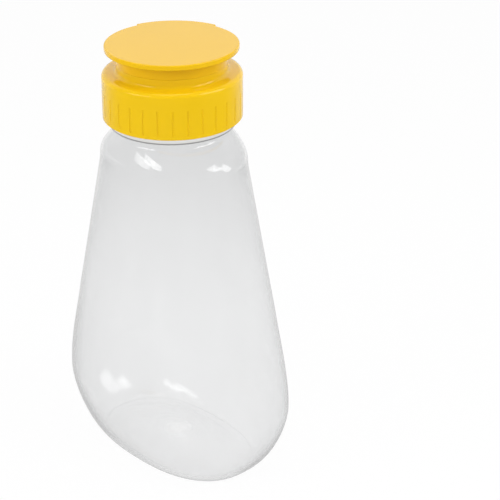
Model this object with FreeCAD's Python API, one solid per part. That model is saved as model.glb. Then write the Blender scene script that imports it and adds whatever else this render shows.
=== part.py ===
import FreeCAD, Part
import math
import os

# A squeeze bottle that dispenses honey, with its hinged screw cap.
#
# Millimetres.  The bottle stands on Z = 0 with its broad side along X, and the
# neck and every round piece of the cap are centred on the Z axis.
# The bottle is blown from clear PET.  The cap is moulded in polypropylene: a
# fluted screw collar, a stepped deck with a spout, and a flat disc lid on a
# film hinge.  A slit silicone valve sits under the spout, held by a snap ring.

Vector = FreeCAD.Vector
UP = Vector(0, 0, 1)

# ---------------------------------------------------------------- bottle body
BODY_WALL = 0.8             # blown wall, the same all over the body
OVAL_EXPONENT = 2.41        # 2 is an ellipse, more is squarer
FOOT_HALF_WIDTH = 31.5      # outer edge of the ring that the bottle stands on
FOOT_HALF_DEPTH = 19.8
FOOT_LAND = 2.2             # width of that ring
PUSH_UP = 3.8               # rise of the hollow under the base
BELLY_Z = 24.4              # height of the fullest section
BELLY_HALF_WIDTH = 46.1
BELLY_HALF_DEPTH = 28.7
HEEL_EXPONENT = 1.535       # roundness of the heel from belly to foot
SWELL_Z = 60.3              # the straight taper ends and the belly swells out
SWELL_HALF_WIDTH = 38.3
SWELL_HALF_DEPTH = 27.5
SHOULDER_Z = 114.7          # the taper ends and the shoulder starts to round over
SHOULDER_HALF_WIDTH = 27.7
SHOULDER_HALF_DEPTH = 23.1
SHOULDER_ROUND = 8.0        # radius between body and shoulder slope
SHOULDER_FALL = 7.4         # height of the shoulder slope, corner to corner
SHOULDER_BAND = 3.0         # from the taper's end up to the slope's lower corner
TAPER_EASE = 0.05           # share of the taper in which it eases in

# ---------------------------------------------------------------- bottle neck
NECK_RADIUS = 19.3          # below the support ring
NECK_ROUND = 2.0            # radius between neck and shoulder slope
NECK_HEIGHT = 2.5           # upright neck under the support ring
RING_RADIUS = 21.5          # support ring
RING_THICKNESS = 1.6
FINISH_HEIGHT = 17.3        # support ring to lip
FINISH_RADIUS = 17.7        # wall that carries the thread
SEAL_RADIUS = 17.0          # plain wall at the lip
SEAL_HEIGHT = 3.2
BORE_RADIUS = 15.6
FUNNEL_DROP = 1.6           # the bore's funnel starts this far below the ring
FUNNEL_LEDGE = 0.6          # ledge at its foot, inside the thin neck wall
FUNNEL_HEIGHT = 2.9
FUNNEL_ROUND = 1.4

# ------------------------------------------------------------------------ cap
THREAD_DEPTH = 1.0          # height of the neck's thread over its wall
THREAD_CLEARANCE = 0.25
SEAL_CLEARANCE = 0.4        # neck to the inside of the waist
CAP_WALL = 1.4
COLLAR_SPACE = 2.0          # hollow between the collar and the threaded skirt
COLLAR_GAP = 0.4            # support ring to collar
SKIRT_SETBACK = 0.8         # the threaded skirt ends above the collar's edge
COLLAR_ROUND = 1.5          # collar's upper outer edge
WAIST_ROUND = 1.3           # hollow round between waist and ledge
LEDGE_DROP = 3.2            # deck to the collar's flat ledge
FLUTE_COUNT = 30
FLUTE_RADIUS = 0.4
FLUTE_DEPTH = 0.2
FLUTE_LENGTH = 8.6
FLUTE_SETBACK = 1.5         # plain rim below the flutes
FLUTE_TURN = 5.0            # first flute's turn from opposite the hinge
WEB_COUNT = 12              # stiffening webs between collar and skirt
WEB_THICKNESS = 1.0
WEB_SETBACK = 5.0           # the webs end above the collar's edge
SPOUT_BORE = 7.6
SPOUT_WALL = 1.4
SPOUT_HEIGHT = 2.9
SNAP_RING_WALL = 1.0        # upright ring that the lid closes round
SNAP_RING_HEIGHT = 2.5
SNAP_CLEARANCE = 0.35
EDGE_BREAK = 0.3            # bevel on the mouldings' small edges
RIM_ROUND = 0.4             # rounded edges of the lid's disc
CAP_ANGLE = 43.0            # where the thread stops: hinge's turn from +Y

# ------------------------------------------------------------------------ lid
LID_HEIGHT = 6.3            # deck to the top of the disc
PARTING_GAP = 0.06
DISC_OVERHANG = 0.6         # disc past the hinge ears
DISC_THICKNESS = 1.8
LID_WALL = 1.25
LID_ROUND = 0.8             # under the disc, outside the lid's wall
PLUG_WALL = 1.0             # ring that closes round the spout
PLUG_CLEARANCE = 0.35
PLUG_HEIGHT = 4.0

# ---------------------------------------------------------------------- hinge
EAR_SETBACK = 1.75          # outer face of the hinge ears, in from the collar
EAR_HALF_WIDTH = 7.0
FILM_THICKNESS = 0.4
FILM_HALF_WIDTH = 6.5
FILM_HALF_HEIGHT = 1.7
FILM_GROOVE = 0.25          # thins the film where it folds
HINGE_RELIEF = 0.5          # hollow in the ears round the fold
TONGUE_REACH = 0.9          # the disc's tongue over the hinge
TONGUE_HALF_ANGLE = 35.0

# --------------------------------------------------- valve, its ring, the seal
LINER_THICKNESS = 0.8
LINER_CLEARANCE = 0.35
FLANGE_RADIUS = 11.4
FLANGE_THICKNESS = 1.4
FLANGE_CLEARANCE = 0.2      # flange to the wall of its well
SLEEVE_CLEARANCE = 0.4      # valve to the spout's bore
SLEEVE_WALL = 0.7
SLEEVE_HEIGHT = 2.2
DISH_RADIUS = 16.0          # sphere that the valve's head is dished to
DISH_WALL = 0.8
SLIT_LENGTH = 8.0
SLIT_WIDTH = 0.15
RETAINER_HEIGHT = 2.0
RETAINER_CLEARANCE = 0.05
RETAINER_BORE = 8.2
SNAP_BEAD = 0.3             # lip of the well that holds the retainer
SNAP_BEAD_HEIGHT = 0.4

# ------------------------------------------------------------- worked-out levels
SLOPE_TOP_Z = SHOULDER_Z + SHOULDER_BAND + SHOULDER_FALL
RING_BOTTOM_Z = SLOPE_TOP_Z + NECK_HEIGHT
RING_TOP_Z = RING_BOTTOM_Z + RING_THICKNESS
LIP_Z = RING_TOP_Z + FINISH_HEIGHT
DECK_BOTTOM_Z = LIP_Z + LINER_THICKNESS
DECK_TOP_Z = DECK_BOTTOM_Z + CAP_WALL
LEDGE_Z = DECK_TOP_Z - LEDGE_DROP
ROOF_Z = LEDGE_Z - CAP_WALL
COLLAR_BOTTOM_Z = RING_TOP_Z + COLLAR_GAP
PARTING_Z = DECK_TOP_Z + PARTING_GAP
TOP_Z = DECK_TOP_Z + LID_HEIGHT
DISC_BOTTOM_Z = TOP_Z - DISC_THICKNESS
FLANGE_BOTTOM_Z = DECK_BOTTOM_Z - FLANGE_THICKNESS
RETAINER_BOTTOM_Z = FLANGE_BOTTOM_Z - RETAINER_HEIGHT

WAIST_INSIDE = SEAL_RADIUS + SEAL_CLEARANCE
WAIST_RADIUS = WAIST_INSIDE + CAP_WALL
SKIRT_INSIDE = FINISH_RADIUS + THREAD_DEPTH + THREAD_CLEARANCE
SKIRT_RADIUS = SKIRT_INSIDE + CAP_WALL
COLLAR_RADIUS = SKIRT_RADIUS + COLLAR_SPACE + CAP_WALL
EAR_REACH = COLLAR_RADIUS - EAR_SETBACK
DISC_RADIUS = EAR_REACH + DISC_OVERHANG
LID_INSIDE = WAIST_RADIUS - LID_WALL
WELL_RADIUS = FLANGE_RADIUS + FLANGE_CLEARANCE
HINGE_Y = EAR_REACH + FILM_THICKNESS / 2
HINGE_Z = DECK_TOP_Z + PARTING_GAP / 2

OVAL_POINTS = 24            # points that each oval section is drawn through
HOLLOW_STEPS = 3            # sections round the neck's hollow arc
FULL_STEPS = 4              # sections round the shoulder's full arc
TAPER_SHARES = (0, 0.05, 0.12, 0.4, 0.7, 1)
SWELL_SHARES = (0.25, 0.5, 0.75, 1)
HEEL_DEGREES = (20, 40, 55, 70, 80, 90)
OVERLAP = 1.0               # how far a piece to be joined or cut runs on


# ------------------------------------------------------------- drawing helpers
def corner_arc(before, corner, after, radius):
    """The start, middle and end of the tangent arc that rounds a corner."""
    back = (before - corner).normalize()
    ahead = (after - corner).normalize()
    half = back.getAngle(ahead) / 2
    setback = radius / math.tan(half)
    middle_line = (back + ahead).normalize()
    centre = corner + middle_line * (radius / math.sin(half))
    return corner + back * setback, centre - middle_line * radius, corner + ahead * setback


def rounded_outline(corners):
    """A closed wire in the XZ plane from (radius, height[, round]) corners.

    A round no larger than an edge break is a straight bevel, and any other an arc."""
    points = [Vector(corner[0], 0, corner[1]) for corner in corners]
    edges = []
    starts, ends = [], []
    for i, corner in enumerate(corners):
        rounding = corner[2] if len(corner) > 2 else 0
        if rounding:
            arc = corner_arc(points[i - 1], points[i], points[(i + 1) % len(points)], rounding)
            if rounding > EDGE_BREAK:
                edges.append(Part.Arc(*arc).toShape())
            else:
                edges.append(Part.makeLine(arc[0], arc[2]))
            starts.append(arc[0])
            ends.append(arc[2])
        else:
            starts.append(points[i])
            ends.append(points[i])
    for i, start in enumerate(starts):
        edges.append(Part.makeLine(ends[i - 1], start))
    return Part.Wire(Part.__sortEdges__(edges))


def turned(corners):
    """The solid that a closed outline sweeps round the Z axis."""
    return Part.Face(rounded_outline(corners)).revolve(Vector(0, 0, 0), UP, 360)


def oval_wire(half_width, half_depth, exponent, z):
    """A smooth closed oval |x/a|^n + |y/b|^n = 1, level at height z."""
    points = []
    for i in range(OVAL_POINTS):
        angle = 2 * math.pi * i / OVAL_POINTS
        c, s = math.cos(angle), math.sin(angle)
        x = half_width * math.copysign(abs(c) ** (2 / exponent), c)
        y = half_depth * math.copysign(abs(s) ** (2 / exponent), s)
        points.append(Vector(x, y, z))
    curve = Part.BSplineCurve()
    even_steps = [i / OVAL_POINTS for i in range(OVAL_POINTS + 1)]
    curve.interpolate(Points=points, PeriodicFlag=True, Parameters=even_steps)
    return Part.Wire(curve.toShape())


def about_z(shape, count):
    """Copies of a shape spaced evenly round the Z axis."""
    copies = []
    for i in range(count):
        copy = shape.copy()
        copy.rotate(Vector(0, 0, 0), UP, 360 * i / count)
        copies.append(copy)
    return copies


def cap_position(shape):
    """Turns a piece from hinge-on-+Y to where the cap stands on the bottle."""
    shape.rotate(Vector(0, 0, 0), UP, CAP_ANGLE)
    return shape


# ----------------------------------------------------------------------- bottle
def eased_taper(share):
    """0 at the shoulder, 1 where the belly begins, starting with no slope."""
    straight = 1 - TAPER_EASE / 2
    if share < TAPER_EASE:
        return share ** 2 / (2 * TAPER_EASE) / straight
    return (share - TAPER_EASE / 2) / straight


def swell(share, start, end, start_slope):
    """A cubic from start to end that leaves at start_slope and arrives level."""
    ease = 3 * share ** 2 - 2 * share ** 3
    lead = share ** 3 - 2 * share ** 2 + share
    return start + (end - start) * ease + start_slope * lead


def flank_half(z, at_shoulder, at_swell, at_belly):
    """The body's half width or half depth at a height from belly to shoulder."""
    taper_height = SHOULDER_Z - SWELL_Z
    if z >= SWELL_Z:
        share = eased_taper((SHOULDER_Z - z) / taper_height)
        return at_shoulder + (at_swell - at_shoulder) * share
    swell_height = SWELL_Z - BELLY_Z
    end_slope = (at_swell - at_shoulder) / (1 - TAPER_EASE / 2) / taper_height
    share = (SWELL_Z - z) / swell_height
    return swell(share, at_swell, at_belly, end_slope * swell_height)


def shoulder_sections(inset):
    """(half width, half depth, z) down the shoulder: neck, hollow arc, full arc, body.  The
    arcs are drawn for the mean of both half sizes, and their spread past the round neck is
    then made wider along X and narrower along Y."""
    mean = (SHOULDER_HALF_WIDTH + SHOULDER_HALF_DEPTH) / 2
    run = mean - NECK_RADIUS
    fall_angle = math.atan2(run, SHOULDER_FALL)
    hollow, full = NECK_ROUND + inset, SHOULDER_ROUND - inset
    hollow_z = SLOPE_TOP_Z + NECK_ROUND * math.tan(fall_angle / 2)
    full_z = SLOPE_TOP_Z - SHOULDER_FALL - SHOULDER_ROUND * math.tan(fall_angle / 2)
    outline = []
    for step in range(HOLLOW_STEPS + 1):
        turn = fall_angle * step / HOLLOW_STEPS
        outline.append((NECK_ROUND - hollow * math.cos(turn) + inset,
                        hollow_z - hollow * math.sin(turn)))
    for step in range(FULL_STEPS + 1):
        turn = fall_angle * (1 - step / FULL_STEPS)
        outline.append((run - SHOULDER_ROUND + full * math.cos(turn) + inset,
                        full_z + full * math.sin(turn)))
    wider = (SHOULDER_HALF_WIDTH - NECK_RADIUS) / run
    deeper = (SHOULDER_HALF_DEPTH - NECK_RADIUS) / run
    neck = NECK_RADIUS - inset
    return [(neck + spread * wider, neck + spread * deeper, z) for spread, z in outline]


def body_loft(inset, top_z):
    """The body from the neck to the foot, its whole skin moved in by inset."""
    sections = shoulder_sections(inset)
    neck = NECK_RADIUS - inset
    neck_z = sections[0][-1]
    sections = [(neck, neck, top_z), (neck, neck, (top_z + neck_z) / 2)] + sections
    wires = [oval_wire(half_width, half_depth, 2, z) for half_width, half_depth, z in sections]
    taper_height = SHOULDER_Z - SWELL_Z
    levels = [SHOULDER_Z - taper_height * share for share in TAPER_SHARES]
    levels += [SWELL_Z + (BELLY_Z - SWELL_Z) * share for share in SWELL_SHARES]
    for z in levels:
        squareness = min(1, (SHOULDER_Z - z) / taper_height)
        half_width = flank_half(z, SHOULDER_HALF_WIDTH, SWELL_HALF_WIDTH, BELLY_HALF_WIDTH)
        half_depth = flank_half(z, SHOULDER_HALF_DEPTH, SWELL_HALF_DEPTH, BELLY_HALF_DEPTH)
        wires.append(oval_wire(half_width - inset, half_depth - inset,
                               2 + (OVAL_EXPONENT - 2) * squareness, z))
    for degrees in HEEL_DEGREES:
        turn = math.radians(degrees)
        out = max(0, math.cos(turn)) ** (2 / HEEL_EXPONENT)
        down = math.sin(turn) ** (2 / HEEL_EXPONENT)
        wires.append(oval_wire(FOOT_HALF_WIDTH + (BELLY_HALF_WIDTH - FOOT_HALF_WIDTH) * out - inset,
                               FOOT_HALF_DEPTH + (BELLY_HALF_DEPTH - FOOT_HALF_DEPTH) * out - inset,
                               OVAL_EXPONENT, inset + (BELLY_Z - inset) * (1 - down)))
    return Part.makeLoft(wires, True, False)


def push_up_dome(rise):
    """A shallow oval dome on Z = 0 that hollows the base inside its land."""
    half_width = FOOT_HALF_WIDTH - FOOT_LAND
    half_depth = FOOT_HALF_DEPTH - FOOT_LAND
    sphere_radius = (half_width ** 2 + rise ** 2) / (2 * rise)
    ball = Part.makeSphere(sphere_radius, Vector(0, 0, rise - sphere_radius))
    slab = Part.makeCylinder(half_width + OVERLAP, rise + OVERLAP)
    narrow = FreeCAD.Matrix()
    narrow.scale(1, half_depth / half_width, 1)
    return ball.common(slab).transformGeometry(narrow)


def neck_outside():
    """The support ring and the threaded wall, from the ring up to the lip."""
    step_z = LIP_Z - SEAL_HEIGHT
    return turned([
        (0, RING_BOTTOM_Z), (RING_RADIUS, RING_BOTTOM_Z, EDGE_BREAK),
        (RING_RADIUS, RING_TOP_Z, EDGE_BREAK), (FINISH_RADIUS, RING_TOP_Z, EDGE_BREAK),
        (FINISH_RADIUS, step_z), (SEAL_RADIUS, step_z + FINISH_RADIUS - SEAL_RADIUS),
        (SEAL_RADIUS, LIP_Z, EDGE_BREAK), (0, LIP_Z)])


def neck_bore():
    """The bore, which opens in a short funnel into the thinner neck below it."""
    funnel_z = RING_BOTTOM_Z - FUNNEL_DROP
    funnel_radius = NECK_RADIUS - BODY_WALL - FUNNEL_LEDGE
    return turned([
        (0, funnel_z), (funnel_radius, funnel_z), (BORE_RADIUS, funnel_z + FUNNEL_HEIGHT, FUNNEL_ROUND),
        (BORE_RADIUS, LIP_Z + OVERLAP), (0, LIP_Z + OVERLAP)])


def make_bottle():
    """Blown shell: closed body skin and neck, less the cavity and the push-up."""
    outside = body_loft(0, RING_BOTTOM_Z).fuse(neck_outside())
    cavity = body_loft(BODY_WALL, RING_BOTTOM_Z - BODY_WALL)
    cavity = cavity.cut(push_up_dome(PUSH_UP + BODY_WALL)).fuse(neck_bore())
    return outside.cut(push_up_dome(PUSH_UP)).cut(cavity)


# -------------------------------------------------------------------- cap pieces
def hinge_ear(bottom_z, top_z):
    """A block that stands out to the hinge from the waist or the lid's wall."""
    inner_y = WAIST_RADIUS - CAP_WALL / 2
    return Part.makeBox(2 * EAR_HALF_WIDTH, EAR_REACH - inner_y, top_z - bottom_z,
                        Vector(-EAR_HALF_WIDTH, inner_y, bottom_z))


def hinge_relief():
    """The round hollow along the fold that lets both ears clear the film."""
    return Part.makeCylinder(HINGE_RELIEF, 2 * (EAR_HALF_WIDTH + OVERLAP),
                             Vector(-EAR_HALF_WIDTH - OVERLAP, HINGE_Y, HINGE_Z), Vector(1, 0, 0))


def cap_shell():
    """Spout, deck, waist, ledge, collar, threaded skirt and valve well."""
    spout_top = DECK_TOP_Z + SPOUT_HEIGHT
    snap_outside = LID_INSIDE - SNAP_CLEARANCE
    snap_inside = snap_outside - SNAP_RING_WALL
    snap_top = DECK_TOP_Z + SNAP_RING_HEIGHT
    collar_inside = COLLAR_RADIUS - CAP_WALL
    skirt_bottom = COLLAR_BOTTOM_Z + SKIRT_SETBACK
    bead_radius = WELL_RADIUS - SNAP_BEAD
    bead_z = RETAINER_BOTTOM_Z - SNAP_BEAD_HEIGHT
    return turned([
        (SPOUT_BORE, spout_top, EDGE_BREAK), (SPOUT_BORE + SPOUT_WALL, spout_top, EDGE_BREAK),
        (SPOUT_BORE + SPOUT_WALL, DECK_TOP_Z, EDGE_BREAK), (snap_inside, DECK_TOP_Z, EDGE_BREAK),
        (snap_inside, snap_top, EDGE_BREAK), (snap_outside, snap_top, EDGE_BREAK),
        (snap_outside, DECK_TOP_Z), (WAIST_RADIUS, DECK_TOP_Z),
        (WAIST_RADIUS, LEDGE_Z, WAIST_ROUND), (COLLAR_RADIUS, LEDGE_Z, COLLAR_ROUND),
        (COLLAR_RADIUS, COLLAR_BOTTOM_Z, EDGE_BREAK), (collar_inside, COLLAR_BOTTOM_Z, EDGE_BREAK),
        (collar_inside, ROOF_Z, EDGE_BREAK), (SKIRT_RADIUS, ROOF_Z, EDGE_BREAK),
        (SKIRT_RADIUS, skirt_bottom, EDGE_BREAK), (SKIRT_INSIDE, skirt_bottom, EDGE_BREAK),
        (SKIRT_INSIDE, ROOF_Z, EDGE_BREAK), (WAIST_INSIDE, ROOF_Z),
        (WAIST_INSIDE, DECK_BOTTOM_Z, EDGE_BREAK), (WELL_RADIUS + CAP_WALL, DECK_BOTTOM_Z, EDGE_BREAK),
        (WELL_RADIUS + CAP_WALL, bead_z, EDGE_BREAK), (bead_radius, bead_z),
        (bead_radius, RETAINER_BOTTOM_Z - SNAP_BEAD), (WELL_RADIUS, RETAINER_BOTTOM_Z),
        (WELL_RADIUS, DECK_BOTTOM_Z), (SPOUT_BORE, DECK_BOTTOM_Z)])


def make_cap_base():
    """The moulded shell with its inner webs, hinge ear and finger flutes."""
    web_start = SKIRT_INSIDE + CAP_WALL / 2
    web_end = COLLAR_RADIUS - CAP_WALL / 2
    web_bottom = COLLAR_BOTTOM_Z + WEB_SETBACK
    web = Part.makeBox(web_end - web_start, WEB_THICKNESS, ROOF_Z + CAP_WALL / 2 - web_bottom,
                       Vector(web_start, -WEB_THICKNESS / 2, web_bottom))
    shell = cap_shell().fuse(about_z(web, WEB_COUNT))
    shell = shell.fuse(hinge_ear(ROOF_Z + CAP_WALL / 2, DECK_TOP_Z)).removeSplitter()
    flute = Part.makeCylinder(FLUTE_RADIUS, FLUTE_LENGTH,
                              Vector(0, -COLLAR_RADIUS - FLUTE_RADIUS + FLUTE_DEPTH,
                                     COLLAR_BOTTOM_Z + FLUTE_SETBACK), UP)
    flute.rotate(Vector(0, 0, 0), UP, FLUTE_TURN)
    shell = shell.cut(about_z(flute, FLUTE_COUNT))
    return cap_position(shell.cut(hinge_relief()))


def lid_tongue():
    """The disc's edge over the hinge, a little further out than the rest."""
    reach = DISC_RADIUS + TONGUE_REACH
    sector = Part.makeCylinder(reach, DISC_THICKNESS, Vector(0, 0, DISC_BOTTOM_Z), UP,
                               2 * TONGUE_HALF_ANGLE)
    sector.rotate(Vector(0, 0, 0), UP, 90 - TONGUE_HALF_ANGLE)
    return sector


def make_lid():
    """Overhanging disc, round wall, plug ring round the spout, and hinge ear."""
    plug_inside = SPOUT_BORE + SPOUT_WALL + PLUG_CLEARANCE
    plug_outside = plug_inside + PLUG_WALL
    plug_bottom = DISC_BOTTOM_Z - PLUG_HEIGHT
    shell = turned([
        (0, TOP_Z), (DISC_RADIUS, TOP_Z, RIM_ROUND), (DISC_RADIUS, DISC_BOTTOM_Z, RIM_ROUND),
        (WAIST_RADIUS, DISC_BOTTOM_Z, LID_ROUND), (WAIST_RADIUS, PARTING_Z),
        (LID_INSIDE, PARTING_Z), (LID_INSIDE, DISC_BOTTOM_Z, EDGE_BREAK),
        (plug_outside, DISC_BOTTOM_Z, EDGE_BREAK), (plug_outside, plug_bottom, EDGE_BREAK),
        (plug_inside, plug_bottom, EDGE_BREAK), (plug_inside, DISC_BOTTOM_Z, EDGE_BREAK),
        (0, DISC_BOTTOM_Z)])
    shell = shell.fuse([lid_tongue(), hinge_ear(PARTING_Z, DISC_BOTTOM_Z + DISC_THICKNESS / 2)])
    return cap_position(shell.removeSplitter().cut(hinge_relief()))


def make_living_hinge():
    """The thin film on the back of both ears, grooved where it folds."""
    film = Part.makeBox(2 * FILM_HALF_WIDTH, FILM_THICKNESS, 2 * FILM_HALF_HEIGHT,
                        Vector(-FILM_HALF_WIDTH, EAR_REACH, HINGE_Z - FILM_HALF_HEIGHT))
    groove = Part.makeCylinder(FILM_GROOVE, 2 * (FILM_HALF_WIDTH + OVERLAP),
                               Vector(-FILM_HALF_WIDTH - OVERLAP, EAR_REACH, HINGE_Z),
                               Vector(1, 0, 0))
    return cap_position(film.cut(groove))


def make_slit_valve():
    """Silicone valve: clamped flange, sleeve in the spout, dished slit head."""
    outside = SPOUT_BORE - SLEEVE_CLEARANCE
    inside = outside - SLEEVE_WALL
    sleeve_top = DECK_BOTTOM_Z + SLEEVE_HEIGHT
    sleeve = turned([
        (inside, FLANGE_BOTTOM_Z), (FLANGE_RADIUS, FLANGE_BOTTOM_Z), (FLANGE_RADIUS, DECK_BOTTOM_Z),
        (outside, DECK_BOTTOM_Z), (outside, sleeve_top, EDGE_BREAK), (inside, sleeve_top, EDGE_BREAK)])
    rim_drop = math.sqrt(DISH_RADIUS ** 2 - inside ** 2)
    centre = Vector(0, 0, sleeve_top - EDGE_BREAK + rim_drop)
    dish = Part.makeSphere(DISH_RADIUS + DISH_WALL, centre).cut(Part.makeSphere(DISH_RADIUS, centre))
    middle = Part.makeCylinder(outside - SLEEVE_WALL / 2, 2 * SLEEVE_HEIGHT,
                               Vector(0, 0, sleeve_top - 2 * SLEEVE_HEIGHT), UP)
    slit = Part.makeBox(SLIT_LENGTH, SLIT_WIDTH, 2 * SLEEVE_HEIGHT,
                        Vector(-SLIT_LENGTH / 2, -SLIT_WIDTH / 2, sleeve_top - 2 * SLEEVE_HEIGHT))
    slits = slit.fuse(slit.rotated(Vector(0, 0, 0), UP, 90))
    return cap_position(sleeve.fuse(dish.common(middle)).cut(slits))


def make_valve_retainer():
    """Ring that snaps into the well and clamps the valve's flange."""
    outside = WELL_RADIUS - RETAINER_CLEARANCE
    return turned([
        (RETAINER_BORE, FLANGE_BOTTOM_Z), (outside, FLANGE_BOTTOM_Z),
        (outside, RETAINER_BOTTOM_Z, EDGE_BREAK),
        (RETAINER_BORE, RETAINER_BOTTOM_Z, RETAINER_HEIGHT / 2)])


def make_sealing_liner():
    """Foam washer between the bottle's lip and the deck."""
    inside = BORE_RADIUS - LINER_CLEARANCE
    outside = WAIST_INSIDE - LINER_CLEARANCE
    return turned([(inside, LIP_Z), (outside, LIP_Z), (outside, DECK_BOTTOM_Z), (inside, DECK_BOTTOM_Z)])


# ------------------------------------------------------------------------ output
PIECES = {
    "bottle": make_bottle,
    "cap_base": make_cap_base,
    "lid": make_lid,
    "living_hinge": make_living_hinge,
    "slit_valve": make_slit_valve,
    "valve_retainer": make_valve_retainer,
    "sealing_liner": make_sealing_liner,
}

os.makedirs("parts", exist_ok=True)
for name, make in PIECES.items():
    shape = make()
    solids = shape.Solids
    print(name, "solids", len(solids), "valid", shape.isValid(), "volume", round(shape.Volume, 1))
    if len(solids) == 1:
        shape = solids[0]
    shape.exportStep(f"parts/{name}.step")
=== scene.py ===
import math

import bmesh
import bpy
import numpy as np
from mathutils import Euler, Matrix, Vector


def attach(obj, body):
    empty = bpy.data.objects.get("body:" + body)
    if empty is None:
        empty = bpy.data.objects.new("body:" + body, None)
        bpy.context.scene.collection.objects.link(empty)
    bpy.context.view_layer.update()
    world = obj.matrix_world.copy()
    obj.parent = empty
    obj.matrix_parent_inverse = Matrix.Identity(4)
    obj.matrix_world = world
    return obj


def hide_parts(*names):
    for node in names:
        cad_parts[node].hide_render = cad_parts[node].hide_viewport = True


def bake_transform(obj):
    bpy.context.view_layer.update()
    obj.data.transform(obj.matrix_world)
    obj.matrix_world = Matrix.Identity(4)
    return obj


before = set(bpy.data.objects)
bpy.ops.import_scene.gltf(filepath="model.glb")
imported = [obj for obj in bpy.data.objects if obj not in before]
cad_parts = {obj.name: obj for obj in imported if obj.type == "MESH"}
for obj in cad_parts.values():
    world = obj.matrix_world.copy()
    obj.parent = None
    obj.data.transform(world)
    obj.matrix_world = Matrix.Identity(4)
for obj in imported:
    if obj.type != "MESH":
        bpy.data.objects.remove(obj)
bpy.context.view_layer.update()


# ---------------------------------------------------------------------- bottle
# A squeeze bottle blown in one piece from clear PET.  Its round shoulder widens into
# an oval belly, and the hollowed base leaves a narrow ring to stand on.  The neck is
# moulded first, with a support ring and a single-start thread for the cap.
MM = 0.001                      # the sizes of the pieces are in millimetres
PET_WALL = 0.8
FOOT = (31.5, 19.8)             # half width and half depth, as for the belly and the others
BELLY = (46.1, 28.7)
BELLY_Z = 24.4
HEEL_EXPONENT = 1.535
SWELL = (38.3, 27.5)
SWELL_Z = 60.3
TAPER_EASE = 0.05
SHOULDER = (27.7, 23.1)
SHOULDER_Z = 114.7
SHOULDER_ROUND = 8.0
SLOPE_TOP_Z = 125.1
SLOPE_FALL = 7.4
SLOPE_BOW = math.radians(7)
NECK_RADIUS = 19.3
NECK_ROUND = 2.0
RING_Z = 127.1
RING_RADIUS = 21.5
RING_TOP_Z = 129.2
FINISH_RADIUS = 17.7
FINISH_Z = (131.5, 143.3)       # the wall that carries the thread
LIP_RADIUS = 17.0
LIP_FOOT_Z = 144.2
LIP_Z = 146.5
BORE_RADIUS = 15.6
BORE_FOOT_Z = 128.9
FUNNEL_FOOT = (17.3, 126.9)     # radius and height where the bore's funnel ends
FUNNEL_EDGE_Z = 126.8
OVAL_EXPONENT = 2.41
PUSH_UP = (29.3, 17.6)
PUSH_UP_RISE = 3.8
PUSH_UP_EASE = 0.4
LAND_START = 0.9                # shares of the push-up's half width
LAND_END = 1.06
LAND_DEEPER = 0.8               # what the ovals gain in half depth and in squareness there
LAND_SQUARER = 0.3
RIPPLE = (0.09, 3.2, 8.0)       # chill rings: height, pitch and reach
GATE_KNOB = (0.55, 1.1)         # depth and radius
THREAD_LEAD = 4.2333
THREAD_HEIGHT = 1.0
THREAD_FOOT = 0.85              # half the thread's width where it leaves the wall
THREAD_SIDE = 0.45              # how much of that each sloping side takes
THREAD_FADE = 0.12              # in turns
THREAD_ROW = 0.16               # the step in height between rows of the threaded wall
THREAD_Z = 134.9
THREAD_TURNS = 1.35
INNER_WAVES = ((0.05, 3, 18), (0.04, 5, -31), (0.03, 2, 9))     # height, lobes, twist
WAVES_START = (6, 20)           # the heights over which the waves set in, and die away
WAVES_END = (100, 116)
BOTTLE_COLUMNS = 160
EDGE_ROUND = 0.03               # the round of a corner that is given none
EDGE_MARGIN = 0.04              # from a round's end to the next point of the outline
DEGREES_A_STEP = 12


def rows(half_width, half_depth, exponent, z):
    """Level ovals as an array of half width, half depth, squareness and height."""
    return np.stack(np.broadcast_arrays(half_width, half_depth, exponent, z), -1).astype(float)


def flank(z, shoulder, swell, belly):
    """A half size of the body at height z: a straight taper from the shoulder down, eased in
    by a parabola, then a cubic that leaves on the taper's slope and is level at the belly."""
    share = (SHOULDER_Z - z) / (SHOULDER_Z - SWELL_Z)
    straight = 1 - TAPER_EASE / 2
    eased = np.where(share < TAPER_EASE, share ** 2 / (2 * TAPER_EASE), share - TAPER_EASE / 2)
    taper = shoulder + (swell - shoulder) * eased / straight
    t = (SWELL_Z - z) / (SWELL_Z - BELLY_Z)
    slope = (swell - shoulder) / straight * (SWELL_Z - BELLY_Z) / (SHOULDER_Z - SWELL_Z)
    cubic = swell + (belly - swell) * (3 * t ** 2 - 2 * t ** 3) + slope * (t ** 3 - 2 * t ** 2 + t)
    return np.where(z >= SWELL_Z, taper, cubic)


def heel_rows(inset):
    """The heel from the foot up to the belly, its skin moved in by inset: a quarter of a
    superellipse."""
    turn = np.radians(np.linspace(90, 0, 33))[:-1]
    out = np.cos(turn).clip(0) ** (2 / HEEL_EXPONENT)
    down = np.sin(turn) ** (2 / HEEL_EXPONENT)
    return rows(FOOT[0] + (BELLY[0] - FOOT[0]) * out - inset,
                FOOT[1] + (BELLY[1] - FOOT[1]) * out - inset,
                OVAL_EXPONENT, inset + (BELLY_Z - inset) * (1 - down))


def side_rows(inset):
    """The sides from the belly up to the shoulder, moved in by inset: their half sizes follow
    flank(), and the oval turns evenly into an ellipse from the swell up."""
    z = np.concatenate([np.linspace(BELLY_Z, SWELL_Z, 21)[:-1], np.linspace(SWELL_Z, SHOULDER_Z, 31)])
    down = ((SHOULDER_Z - z) / (SHOULDER_Z - SWELL_Z)).clip(0, 1)
    return rows(flank(z, SHOULDER[0], SWELL[0], BELLY[0]) - inset,
                flank(z, SHOULDER[1], SWELL[1], BELLY[1]) - inset, 2 + (OVAL_EXPONENT - 2) * down, z)


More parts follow.
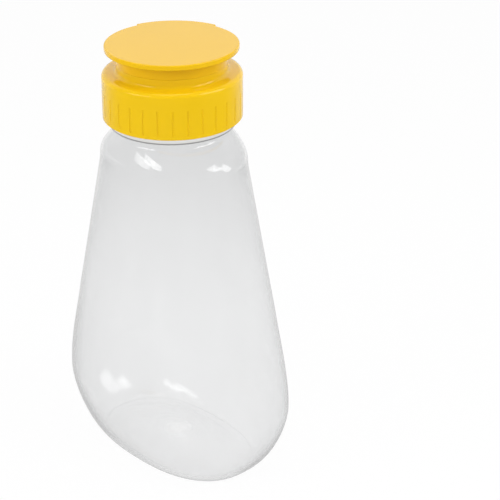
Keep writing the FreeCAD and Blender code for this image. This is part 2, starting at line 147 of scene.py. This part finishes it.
def shoulder_rows(inset):
    """The shoulder up to the neck, moved in by inset: a full arc, a slope bowed out a little and
    a hollow arc.  Their spread past the round neck is stretched along X and drawn in along Y."""
    run = (SHOULDER[0] + SHOULDER[1]) / 2 - NECK_RADIUS
    fall = math.atan2(run, SLOPE_FALL)
    low, high = fall - SLOPE_BOW, fall + SLOPE_BOW
    bowed = run - SHOULDER_ROUND * (1 - math.cos(low)) - NECK_ROUND * (1 - math.cos(high))
    slope_radius = bowed / (math.cos(low) - math.cos(high))
    spread = run
    height = SLOPE_TOP_Z - SLOPE_FALL - SHOULDER_ROUND * math.tan(fall / 2)
    arcs = []
    for radius, start, end in ((SHOULDER_ROUND, 0, low), (slope_radius, low, high), (-NECK_ROUND, high, 0)):
        tilt = np.linspace(start, end, 15)
        out = spread + radius * (np.cos(tilt) - math.cos(start))
        up = height + radius * (np.sin(tilt) - math.sin(start))
        spread, height = out[-1], up[-1]
        arcs.append((out + inset * (1 - np.cos(tilt)), up - inset * np.sin(tilt)))
    spread, height = np.concatenate(arcs, 1)
    wider, deeper = (SHOULDER[0] - NECK_RADIUS) / run, (SHOULDER[1] - NECK_RADIUS) / run
    neck = NECK_RADIUS - inset
    return rows(neck + spread * wider, neck + spread * deeper, 2, height)


def body_rows(inset):
    """The blown body from foot to neck, its skin moved in by inset."""
    return np.concatenate([heel_rows(inset), side_rows(inset), shoulder_rows(inset)])


def rounded(corners):
    """An outline through (radius, height[, round]) corners: each round is the arc that
    touches both sides, and each straight side has a point just inside each of its ends."""
    points = [np.array(corner[:2], float) for corner in corners]
    line = [points[0]]
    for before, corner, after, given in zip(points, points[1:], points[2:], corners[1:]):
        radius = given[2] if len(given) > 2 else EDGE_ROUND
        back = (before - corner) / np.linalg.norm(before - corner)
        ahead = (after - corner) / np.linalg.norm(after - corner)
        half = math.acos(np.clip(back @ ahead, -1, 1)) / 2
        setback = radius / math.tan(half)
        centre = corner + (back + ahead) / np.linalg.norm(back + ahead) * radius / math.sin(half)
        sweep = math.pi - 2 * half
        steps = 2 + int(math.degrees(sweep) * min(1, radius) / DEGREES_A_STEP)
        turn = np.linspace(0, sweep, steps + 1)[:, None]
        start = corner + back * setback - centre
        end = corner + ahead * setback - centre
        aside = (end - start * math.cos(sweep)) / math.sin(sweep)
        arc = centre + start * np.cos(turn) + aside * np.sin(turn)
        line += [arc[0] + back * EDGE_MARGIN, *arc, arc[-1] + ahead * EDGE_MARGIN]
    return np.array(line + [points[-1]])


def round_rows(corners):
    """A rounded outline as rows of round sections."""
    radius, z = rounded(corners).T
    return rows(radius, radius, 2, z)


def ovals(levels, columns):
    """The points of each row's oval |x/a|^n + |y/b|^n = 1, at even steps of its angle."""
    angle = np.linspace(0, 2 * np.pi, columns, endpoint=False)
    c, s = np.cos(angle), np.sin(angle)
    a, b, n, z = levels.T[:, :, None]
    x = a * np.sign(c) * abs(c) ** (2 / n)
    y = b * np.sign(s) * abs(s) ** (2 / n)
    return np.stack([x, y, z + 0 * x], -1)


def grow(grid, amount):
    """Moves each point straight out from the Z axis by amount, in millimetres."""
    spread = np.hypot(grid[..., 0], grid[..., 1])
    factor = 1 + amount / np.maximum(spread, 1)
    return np.stack([grid[..., 0] * factor, grid[..., 1] * factor, grid[..., 2]], -1)


def ease(value, low, high):
    """0 below low, 1 above high, and a smooth cubic between."""
    t = ((value - low) / (high - low)).clip(0, 1)
    return t * t * (3 - 2 * t)


def faded(turns, start, end):
    """1 along a thread, fading to 0 over the last eighth of a turn at each end."""
    return ease(turns, start, start + THREAD_FADE) * ease(-turns, -end, THREAD_FADE - end)


def thread_height(angle, z):
    """The thread's height over the neck: a trapezium in z about a helix that rises one lead
    in each anticlockwise turn."""
    wound = (z - THREAD_Z) / THREAD_LEAD - angle / (2 * np.pi)
    lap = np.round(wound)
    off = abs(wound - lap) * THREAD_LEAD
    ends = faded(lap + angle / (2 * np.pi), 0, THREAD_TURNS)
    return THREAD_HEIGHT * ends * ((THREAD_FOOT - off) / THREAD_SIDE).clip(0, 1)


def skin(name, grid):
    """A mesh from a grid of points in millimetres, rows by columns.  The columns join up, and a
    row drawn in to one point closes as a pole."""
    count, across = grid.shape[:2]
    down = np.arange(count - 1)[:, None] * across
    along = np.arange(across)
    beside = (along + 1) % across
    corners = (down + along, down + beside, down + across + beside, down + across + along)
    quads = np.stack(corners, -1).reshape(-1, 4)
    mesh = bpy.data.meshes.new(name)
    mesh.from_pydata((grid.reshape(-1, 3) * MM).tolist(), [], quads.tolist())
    shape = bmesh.new()
    shape.from_mesh(mesh)
    bmesh.ops.remove_doubles(shape, verts=shape.verts, dist=1e-7)
    bmesh.ops.recalc_face_normals(shape, faces=shape.faces)
    shape.to_mesh(mesh)
    shape.free()
    mesh.polygons.foreach_set("use_smooth", np.ones(len(mesh.polygons), bool))
    piece = bpy.data.objects.new(name, mesh)
    bpy.context.scene.collection.objects.link(piece)
    return piece


def dome(share):
    """Height of the push-up's spherical dome at a share of its half width from the middle."""
    sphere = (PUSH_UP[0] ** 2 + PUSH_UP_RISE ** 2) / (2 * PUSH_UP_RISE)
    return PUSH_UP_RISE - sphere + np.sqrt(sphere ** 2 - (PUSH_UP[0] * share) ** 2)


def push_up_rows(floor_z, edge):
    """The base from its middle out over the land: half of d + sqrt(d^2 + e^2), where d is the
    dome's height over the land, so that the dome runs out into the land in a soft round.  Its
    ovals grow squarer and a little deeper there."""
    share = np.concatenate([np.linspace(0, LAND_START, 37), np.linspace(LAND_START + 0.02, edge, 15)])
    over = dome(share)
    z = floor_z + (over + np.sqrt(over ** 2 + PUSH_UP_EASE ** 2)) / 2
    near_land = ease(share, LAND_START, LAND_END)
    return rows(PUSH_UP[0] * share, PUSH_UP[1] * share + LAND_DEEPER * near_land,
                2 + LAND_SQUARER * near_land, z)


# chill rings round the middle of the base, and the small knob that the gate leaves there
base = push_up_rows(0, LAND_END)
spread = base[:, 0]
base[:, 3] += RIPPLE[0] * np.cos(2 * np.pi * spread / RIPPLE[1]) * np.exp(-spread / RIPPLE[2])
base[:, 3] -= GATE_KNOB[0] * np.exp(-(spread / GATE_KNOB[1]) ** 2)

# one skin runs from the base up the outside, over the lip and down the bore to the lining
neck = round_rows([
    (NECK_RADIUS, RING_Z - 0.8), (NECK_RADIUS, RING_Z, 0.3), (RING_RADIUS, RING_Z, 0.3),
    (RING_RADIUS, RING_TOP_Z, 0.4), (FINISH_RADIUS, RING_TOP_Z, 0.4), (FINISH_RADIUS, FINISH_Z[0])])
finish = rows(FINISH_RADIUS, FINISH_RADIUS, 2, np.arange(FINISH_Z[0] + 0.1, FINISH_Z[1], THREAD_ROW))
lip = round_rows([
    (FINISH_RADIUS, FINISH_Z[1]), (FINISH_RADIUS, FINISH_Z[1] + 0.2, 0.1), (LIP_RADIUS, LIP_FOOT_Z, 0.3),
    (LIP_RADIUS, LIP_Z, 0.35), (BORE_RADIUS, LIP_Z, 0.35), (BORE_RADIUS, BORE_FOOT_Z, 1.4),
    (*FUNNEL_FOOT, 0.3), (NECK_RADIUS - PET_WALL, FUNNEL_EDGE_Z, 0.5),
    (NECK_RADIUS - PET_WALL, FUNNEL_EDGE_Z - 0.6)])
lining = np.concatenate([push_up_rows(PET_WALL, LAND_END - 0.03), body_rows(PET_WALL)])[::-1]
outer = ovals(np.concatenate([base, body_rows(0), neck, finish, lip]), BOTTLE_COLUMNS)
angle = np.linspace(0, 2 * np.pi, BOTTLE_COLUMNS, endpoint=False)
threaded = (outer[..., 2] > FINISH_Z[0]) & (outer[..., 2] < FINISH_Z[1])
threaded &= np.hypot(outer[..., 0], outer[..., 1]) > LIP_RADIUS
outer = grow(outer, threaded * thread_height(angle, outer[..., 2]))

# the inner wall of a blown bottle wavers by some hundredths of a millimetre
inner = ovals(lining, BOTTLE_COLUMNS)
inner_angle = np.arctan2(inner[..., 1], inner[..., 0])
inner_z = inner[..., 2]
waver = sum(height * np.sin(lobes * inner_angle + inner_z / twist) for height, lobes, twist in INNER_WAVES)
waver = waver * ease(inner_z, *WAVES_START) * (1 - ease(inner_z, *WAVES_END))
bottle = skin("clear_bottle", np.concatenate([outer, grow(inner, waver)]))


class Wire:
    """An output in a material's node tree.  Arithmetic on it adds Math nodes, and node() adds
    any other kind."""

    def __init__(self, tree, socket=None):
        self.tree = tree
        self.socket = socket

    def node(self, kind, settings=None, sockets=None, output=0):
        """A new node with its settings and what its sockets hold or read, as one of its outputs."""
        made = self.tree.nodes.new("ShaderNode" + kind)
        for setting, value in (settings or {}).items():
            setattr(made, setting, value)
        for key, value in (sockets or {}).items():
            if isinstance(value, Wire):
                self.tree.links.new(value.socket, made.inputs[key])
            else:
                made.inputs[key].default_value = value
        return Wire(self.tree, made.outputs[output] if made.outputs else None)

    def beside(self, name):
        """Another output of the same node."""
        return Wire(self.tree, self.socket.node.outputs[name])

    def math(self, operation, *values):
        """The result of one Math node."""
        return self.node("Math", {"operation": operation}, dict(enumerate(values)))

    def ramp(self, start, end, high=1.0, smooth=False):
        """0 where this value is start, rising to high at end, and level past both."""
        settings = {"interpolation_type": "SMOOTHSTEP" if smooth else "LINEAR"}
        return self.node("MapRange", settings, {0: self, 1: start, 2: end, 3: 0.0, 4: high})

    def blend(self, one, other, kind="MIX"):
        """The first colour, turned into the second by this value."""
        settings = {"data_type": "RGBA", "blend_type": kind}
        return self.node("Mix", settings, {"Factor": self, 6: one, 7: other}, output=2)

    def relief(self, strength, depth, **more):
        """A normal bent by this height: depth is in metres."""
        return self.node("Bump", sockets={"Strength": strength, "Distance": depth, "Height": self, **more})

    def __add__(self, other):
        return self.math("ADD", self, other)

    def __radd__(self, other):
        return self.math("ADD", other, self)

    def __sub__(self, other):
        return self.math("SUBTRACT", self, other)

    def __rsub__(self, other):
        return self.math("SUBTRACT", other, self)

    def __mul__(self, other):
        return self.math("MULTIPLY", self, other)

    def __rmul__(self, other):
        return self.math("MULTIPLY", other, self)


def new_finish(name):
    """An empty material, and the wire that its nodes are added from."""
    material = bpy.data.materials.new(name)
    material.use_nodes = True
    material.node_tree.nodes.clear()
    return material, Wire(material.node_tree)


def grey(level):
    """A neutral colour as bright as level."""
    return (level, level, level, 1)


def grain(paint, size, stretch=(1, 1, 1), detail=2.0):
    """Soft noise, about 0.5, whose blotches are about size millimetres across."""
    place = paint.node("TexCoord", output=3)
    place = paint.node("Mapping", sockets={"Vector": place, "Scale": stretch})
    return paint.node("TexNoise", sockets={"Vector": place, "Scale": 1 / (size * MM), "Detail": detail})


def own_place(paint):
    """The object's own x, y and z, in metres."""
    x = paint.node("SeparateXYZ", sockets={0: paint.node("TexCoord", output=3)})
    return x, x.beside("Y"), x.beside("Z")


def laid_over(body, share, colour):
    """A finish with an even light of one colour laid over a share of it."""
    light = body.node("Emission", sockets={"Color": colour, "Strength": 1.0})
    return body.node("MixShader", sockets={0: share, 1: body, 2: light})


TINT = ((0.822, 0.824, 0.826, 1), (0.940, 0.942, 0.944, 1))     # the shoulder and the belly
BELLY_HEIGHTS = (130, 70)       # the wall clears from the neck down to the belly
# painted shade for the clear wall where it is seen edge on
EDGE_SHADE_TINT = (0.87, 0.872, 0.875, 1)
RIM_TURN = (0.35, 0.75)         # 0 faces the eye and 1 is seen edge on, here and below
RING_PAINTED_GLOW = (0.79, 0.785, 0.765, 1)
RING_SHARE = 0.85
RING_TURN = (0.6, 0.8)
BELLY_TURN = (0.78, 0.96)
GATE_GLOW_RADII = (6.0, 1.5)          # the painted glow round the gate sets in over these radii
GATE_GLOW_Z = 6.0
MOST_BOUNCES = 10.0

clear_pet, paint = new_finish("clear_pet")
x, y, z = own_place(paint)
reach = paint.math("SQRT", x * x + y * y)
haze = grain(paint, 26)
belly = z.ramp(BELLY_HEIGHTS[0] * MM, BELLY_HEIGHTS[1] * MM, high=0.8)
facing = paint.node("LayerWeight", sockets={0: 0.5}, output=1)
tint = (grain(paint, 9, stretch=(1, 1, 0.12)) * 0.2 + belly).blend(*TINT)
# painted shade: the clear wall's colour darkens where it is seen edge on, mostly above the belly
painted_edge_shade = facing.ramp(*RIM_TURN, smooth=True) * (1.0 - belly)
tint = painted_edge_shade.blend(tint, EDGE_SHADE_TINT, kind="MULTIPLY")
body = paint.node("BsdfPrincipled", sockets={
    "Base Color": tint, "Roughness": 0.03 + 0.05 * grain(paint, 14), "IOR": 1.5,
    "Transmission Weight": 1.0, "Normal": haze.relief(0.12, 0.0008)})

# the thick support ring's face gets a painted glow, with painted dark lines along its foot and where it
# turns away
on_ring = paint.math("GREATER_THAN", reach, (NECK_RADIUS + 0.4) * MM)
ring = paint.math("GREATER_THAN", z, (RING_Z + 0.6) * MM) * on_ring
body = laid_over(body, ring * RING_SHARE, RING_PAINTED_GLOW)
painted_foot_shade = paint.math("GREATER_THAN", z, (RING_Z - 0.05) * MM) * on_ring * (1.0 - ring)
painted_shade_line = painted_foot_shade + ring * facing.ramp(*RING_TURN)
body = laid_over(body, painted_shade_line * RING_SHARE, grey(0.33))

# painted light: the belly's edges get an even pale glow where they are seen edge on, and a milky spot round
# the gate is painted as a pale glow
body = laid_over(body, belly * facing.ramp(*BELLY_TURN, high=0.9), grey(0.79))
painted_gate_glow = reach.ramp(GATE_GLOW_RADII[0] * MM, GATE_GLOW_RADII[1] * MM, high=0.75)
painted_gate_glow = painted_gate_glow * paint.math("LESS_THAN", z, GATE_GLOW_Z * MM) * (0.5 + haze)
body = laid_over(body, painted_gate_glow, grey(0.96))

# shadow rays go straight through, and rays caught between the walls end in a pale glow
path = paint.node("LightPath", output=1)
let_through = paint.node("BsdfTransparent", sockets={"Color": (0.93, 0.93, 0.935, 1)})
body = paint.node("MixShader", sockets={0: path, 1: body, 2: let_through})
trapped = paint.math("GREATER_THAN", path.beside("Ray Depth"), MOST_BOUNCES)
paint.node("OutputMaterial", sockets={"Surface": laid_over(body, trapped, grey(0.8))})
bottle.data.materials.append(clear_pet)
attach(bottle, "bottle")
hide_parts("bottle")


# ----------------------------------------------------------------- foam washer
# A washer cut from white closed-cell foam.  It sits against the deck inside the cap and is
# pressed on the bottle's lip when the cap is screwed home.
FOAM_COLOURS = ((0.80, 0.80, 0.77, 1), (0.92, 0.92, 0.90, 1))

foam, paint = new_finish("foam")
cells = grain(paint, 0.5, detail=3.0)
body = paint.node("BsdfPrincipled", sockets={
    "Base Color": cells.blend(*FOAM_COLOURS), "Roughness": 0.75 + 0.15 * cells,
    "Normal": cells.relief(0.6, 0.0001)})
paint.node("OutputMaterial", sockets={"Surface": body})


def dress(node, material):
    """Gives a CAD node its finish."""
    node.data.materials.clear()
    node.data.materials.append(material)


dress(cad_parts["sealing_liner"], foam)


# ---------------------------------------------------------------- slit valve
# A valve moulded in translucent silicone, with a dished head cut by a cross slit.  Its
# flange is clamped under the deck by a ring of natural polypropylene that snaps in.
SILICONE_COLOURS = ((0.74, 0.75, 0.73, 1), (0.84, 0.85, 0.83, 1))
WHITE_COLOURS = ((0.80, 0.80, 0.77, 1), (0.88, 0.88, 0.86, 1))

silicone, paint = new_finish("silicone")
cloud = grain(paint, 3)
body = paint.node("BsdfPrincipled", sockets={
    "Base Color": cloud.blend(*SILICONE_COLOURS), "Roughness": 0.38 + 0.2 * cloud, "IOR": 1.41,
    "Subsurface Weight": 0.25, "Subsurface Radius": (0.002, 0.002, 0.002),
    "Normal": grain(paint, 0.4).relief(0.15, 0.0001)})
paint.node("OutputMaterial", sockets={"Surface": body})
dress(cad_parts["slit_valve"], silicone)

white_pp, paint = new_finish("white_pp")
flow = grain(paint, 5, stretch=(1, 1, 0.3))
body = paint.node("BsdfPrincipled", sockets={
    "Base Color": flow.blend(*WHITE_COLOURS), "Roughness": 0.28 + 0.15 * flow, "IOR": 1.49,
    "Normal": grain(paint, 0.5).relief(0.1, 0.0001)})
paint.node("OutputMaterial", sockets={"Surface": body})
dress(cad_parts["valve_retainer"], white_pp)


# ----------------------------------------------------------------------- cap
# The screw cap and its disc lid are one injection moulding in glossy yellow polypropylene.
# The collar has thirty finger flutes with finer lines between them, and the thread inside
# its skirt runs just under the bottle's.
COLLAR_RADIUS = 23.75
COLLAR_LINES = 150
LINES_TOP_Z = 139.8
LEDGE = (19.8, 23.3)            # the collar's top tilts outward between these radii
LEDGE_FALL = 0.7
SKIRT_RADIUS = 18.95
CAP_THREAD = (0.12, 1.72)       # its start and end, in turns along the bottle's helix
CAP_THREAD_HEIGHT = 0.9
CAP_THREAD_LAG = 1.4            # how far it runs under the bottle's thread
CAP_THREAD_ROOT = (0.15, 0.95)  # how deep its back is sunk in the skirt, and half its width
CAP_THREAD_ENDS = 0.3           # the share of its width that its ends keep
COLLAR_YELLOW = ((0.78, 0.492, 0.003, 1), (0.83, 0.532, 0.007, 1))
YELLOW = ((0.79, 0.470, 0.003, 1), (0.83, 0.502, 0.006, 1))


def yellow_moulding(name, dark, light, collar=False):
    """Yellow polypropylene between two colours, with faint flow marks.  The collar adds the
    fine upright lines, a sine of the angle round it, and an outward tilt to its top."""
    material, paint = new_finish(name)
    flow = grain(paint, 16, stretch=(1, 1, 0.4))
    speck = grain(paint, 0.7, detail=3.0)
    marks = speck * 0.25 + flow
    tilt = {}
    if collar:
        x, y, z = own_place(paint)
        reach = paint.math("SQRT", x * x + y * y)
        lines = paint.math("SINE", paint.math("ARCTAN2", y, x) * COLLAR_LINES)
        on_wall = paint.math("GREATER_THAN", reach, (COLLAR_RADIUS - 0.3) * MM)
        under_top = paint.math("LESS_THAN", z, LINES_TOP_Z * MM)
        marks = marks + lines * on_wall * under_top * 0.35
        fall = reach.ramp(LEDGE[0] * MM, LEDGE[1] * MM, high=-LEDGE_FALL * MM)
        tilt["Normal"] = fall.relief(1.0, 1.0)
    body = paint.node("BsdfPrincipled", sockets={
        "Base Color": (flow * 0.8 + speck * 0.2).blend(dark, light), "Roughness": 0.07 + 0.08 * flow,
        "IOR": 1.49, "Normal": marks.relief(0.25, 0.00006, **tilt)})
    paint.node("OutputMaterial", sockets={"Surface": body})
    return material


collar_yellow = yellow_moulding("yellow_collar", *COLLAR_YELLOW, collar=True)
yellow = yellow_moulding("yellow_pp", *YELLOW)
dress(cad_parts["cap_base"], collar_yellow)

# a trapezium ridge is swept along the helix, and draws in to a point at each end
turns = np.linspace(*CAP_THREAD, 220)[:, None]
height = CAP_THREAD_HEIGHT * faded(turns, *CAP_THREAD)
crest = THREAD_FOOT - THREAD_SIDE
root_depth, root = CAP_THREAD_ROOT
section = np.array([
    (root_depth, -root), (root_depth, root), (0, THREAD_FOOT), (-1, crest), (-1, -crest), (0, -THREAD_FOOT)])
inward = section[:, 0] * np.where(section[:, 0] < 0, height, 1)
wide = section[:, 1] * (CAP_THREAD_ENDS + (1 - CAP_THREAD_ENDS) * height / CAP_THREAD_HEIGHT)
radius = SKIRT_RADIUS + inward
ridge = np.stack([radius * np.cos(2 * np.pi * turns), radius * np.sin(2 * np.pi * turns),
                  THREAD_Z - CAP_THREAD_LAG + THREAD_LEAD * turns + wide], -1)
ridge[0] = ridge[0].mean(0)
ridge[-1] = ridge[-1].mean(0)
cap_thread = skin("cap_thread", ridge)
cap_thread.data.materials.append(yellow)
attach(cap_thread, "cap")


# ----------------------------------------------------------------------- lid
# The wide flat disc, its wall and the plug ring that closes the spout are moulded with
# the cap and swing on a film of the same plastic at the back.
dress(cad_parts["lid"], yellow)


# ---------------------------------------------------------------- film hinge
# The film that joins the lid to the cap is four tenths of a millimetre of the same plastic.
# A groove along its inner face makes it fold there when the lid swings over.
HINGE_ANGLE = math.radians(133)
HINGE_Z = 148.73
FILM_FACES = (22.0, 22.4)
FILM_HALF_WIDTH = 6.5
FILM_HALF_HEIGHT = 1.7
GROOVE = (0.22, 0.28)           # depth, and about half the width

# each row is a loop up the outer face and down the inner one, and the first and the last row
# are drawn in to the film's middle so that its ends close
climb = np.linspace(-FILM_HALF_HEIGHT, FILM_HALF_HEIGHT, 35)
inner_face = FILM_FACES[0] + GROOVE[0] * np.exp(-(climb / GROOVE[1]) ** 2)
outer_face = np.full(len(climb), FILM_FACES[1])
middle = (inner_face + outer_face) / 2
across = np.linspace(-FILM_HALF_WIDTH, FILM_HALF_WIDTH, 21)
across = np.concatenate([across[:1], across, across[-1:]])[:, None]
reach = np.tile(np.concatenate([outer_face, inner_face[::-1]]), (len(across), 1))
reach[[0, -1]] = np.concatenate([middle, middle[::-1]])
film = skin("film_hinge", np.stack([
    reach * math.cos(HINGE_ANGLE) - across * math.sin(HINGE_ANGLE),
    reach * math.sin(HINGE_ANGLE) + across * math.cos(HINGE_ANGLE),
    HINGE_Z + np.concatenate([climb, climb[::-1]]) + 0 * across], -1))
film.data.materials.append(yellow)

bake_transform(film)
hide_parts("living_hinge")


# -------------------------------------------------------------------- studio
# A pale floor, soft boxes to the left, the right and overhead, and a white surround that is
# dimmer on the camera's side of the room.  Three more lamps light the plastic, but no
# reflection and no clear wall shows them.
CAMERA_SIDE = -41.9
FRONT = (math.cos(math.radians(CAMERA_SIDE)), math.sin(math.radians(CAMERA_SIDE)), 0)
FLOOR_HALF = 3.0                # the studio's sizes are in metres
FLOOR_COLOURS = (grey(0.86), grey(0.90))
FLOOR_WHITE = 0.95              # how far the floor's own shading gives way to plain white
DIMMED = 0.1
LAMP_DISTANCE = 0.9
LAMP_AIM = (0, 0, 0.08)


def studio_white(paint, place, start, end):
    """The rays that see plain white, and its colour: those from the camera, off a gloss or
    through a clear wall.  Reflected rays see it dimmed where the place, measured along the
    level line toward the camera's side, goes from start to end."""
    rays = paint.node("LightPath")
    seen = paint.math("MAXIMUM", rays, rays.beside("Is Glossy Ray"))
    seen = paint.math("MAXIMUM", seen, rays.beside("Is Transmission Ray"))
    reflected = rays.beside("Is Glossy Ray") - rays.beside("Is Transmission Ray")
    along = paint.node("VectorMath", {"operation": "DOT_PRODUCT"}, {0: place, 1: FRONT}, output=1)
    dim = along.ramp(start, end, smooth=True) * reflected
    return seen, dim.blend(grey(1), grey(DIMMED))


floor = bpy.data.meshes.new("floor")
floor.from_pydata([(-FLOOR_HALF, -FLOOR_HALF, 0), (FLOOR_HALF, -FLOOR_HALF, 0),
                   (FLOOR_HALF, FLOOR_HALF, 0), (-FLOOR_HALF, FLOOR_HALF, 0)], [], [(0, 1, 2, 3)])
floor = bpy.data.objects.new("floor", floor)
bpy.context.scene.collection.objects.link(floor)
pale, paint = new_finish("pale_floor")
matte = paint.node("BsdfDiffuse", sockets={"Color": grain(paint, 60).blend(*FLOOR_COLOURS)})
seen, shine = studio_white(paint, paint.node("TexCoord", output=3), start=-0.5, end=0.05)
white = paint.node("Emission", sockets={"Color": shine, "Strength": 1.0})
body = paint.node("MixShader", sockets={0: seen * FLOOR_WHITE, 1: matte, 2: white})
paint.node("OutputMaterial", sockets={"Surface": body})
floor.data.materials.append(pale)

world = bpy.data.worlds.new("studio")
world.use_nodes = True
world.node_tree.nodes.clear()
air = Wire(world.node_tree)
seen, shine = studio_white(air, air.node("TexCoord"), start=-0.8, end=0.0)
soft = air.node("Background", sockets={"Color": grey(0.55), "Strength": 1.0})
white = air.node("Background", sockets={"Color": shine, "Strength": 1.0})
sky = air.node("MixShader", sockets={0: seen, 1: soft, 2: white})
air.node("OutputWorld", sockets={"Surface": sky})
bpy.context.scene.world = world


def softbox(name, side, rise, size, watts, spread=180):
    """A soft box that faces the bottle from side degrees to the right of the camera's side and
    rise degrees up.  A narrow spread makes its face fade toward the edges."""
    lamp = bpy.data.lights.new(name, "AREA")
    lamp.shape = "RECTANGLE"
    lamp.size, lamp.size_y = size
    lamp.energy = watts
    lamp.spread = math.radians(spread)
    box = bpy.data.objects.new(name, lamp)
    out = Vector((1, 0, 0))
    out.rotate(Euler((0, -math.radians(rise), math.radians(CAMERA_SIDE + side))))
    box.location = Vector(LAMP_AIM) + LAMP_DISTANCE * out
    box.rotation_mode = "QUATERNION"
    box.rotation_quaternion = (-out).to_track_quat("-Z", "Y")
    bpy.context.scene.collection.objects.link(box)
    return box


softbox("left_box", -50, 32, (0.36, 0.18), 0.042, spread=44)
softbox("left_wing", -66, 24, (0.36, 0.18), 0.03, spread=44)
softbox("right_box", 62, 40, (0.3, 0.34), 0.064, spread=44)
softbox("right_tower", 82, 26, (0.26, 0.5), 0.21, spread=80)
softbox("top_box", 0, 88, (0.5, 0.5), 0.98)
fills = (("left_fill", -65, 24, 2.4), ("front_fill", 0, 62, 1.35), ("right_fill", 65, 24, 1.9))
for name, side, rise, watts in fills:
    fill = softbox(name, side, rise, (0.6, 0.5), watts)
    fill.visible_glossy = False
    fill.visible_transmission = False


# -------------------------------------------------------------------- camera
# The camera looks down on the front of the bottle from a little over half a metre.
FOCAL_PIXELS = 1586.2
IMAGE = 500
SENSOR = 36                     # in millimetres
CENTRE_PIXEL = (144.5, 243.95)
DISC_PIXEL = (171.46, 42.80)
DISC_DISTANCE = 525.68
DISC_TOP_Z = 155.0
PITCH = 0.4571                  # in radians, as is the roll
ROLL = 0.0273
HEADING = math.radians(49.34)

ahead = Vector((0, math.cos(PITCH), -math.sin(PITCH)))
level = Vector((1, 0, 0))
above = Vector((0, math.sin(PITCH), math.cos(PITCH)))
right = level * math.cos(ROLL) - above * math.sin(ROLL)
top = level * math.sin(ROLL) + above * math.cos(ROLL)
disc_right = (DISC_PIXEL[0] - CENTRE_PIXEL[0]) / FOCAL_PIXELS * DISC_DISTANCE
disc_up = (CENTRE_PIXEL[1] - DISC_PIXEL[1]) / FOCAL_PIXELS * DISC_DISTANCE
place = -ahead * DISC_DISTANCE - right * disc_right - top * disc_up
turn = Matrix.Rotation(HEADING, 3, "Z")
camera_data = bpy.data.cameras.new("camera")
camera_data.sensor_width = SENSOR
camera_data.lens = FOCAL_PIXELS / IMAGE * SENSOR
camera_data.shift_x = 0.5 - CENTRE_PIXEL[0] / IMAGE
camera_data.shift_y = CENTRE_PIXEL[1] / IMAGE - 0.5
camera_data.clip_start = 0.01
camera = bpy.data.objects.new("camera", camera_data)
bpy.context.scene.collection.objects.link(camera)
axes = turn @ Matrix((right, top, -ahead)).transposed()
camera.matrix_world = Matrix.Translation((turn @ place + Vector((0, 0, DISC_TOP_Z))) * MM) @ axes.to_4x4()
bpy.context.scene.camera = camera

# light crosses four clear walls, and is turned round inside them, before it reaches the floor
bpy.context.scene.cycles.max_bounces = 32
bpy.context.scene.cycles.glossy_bounces = 24
bpy.context.scene.cycles.transmission_bounces = 24
bpy.context.scene.view_settings.view_transform = "Standard"
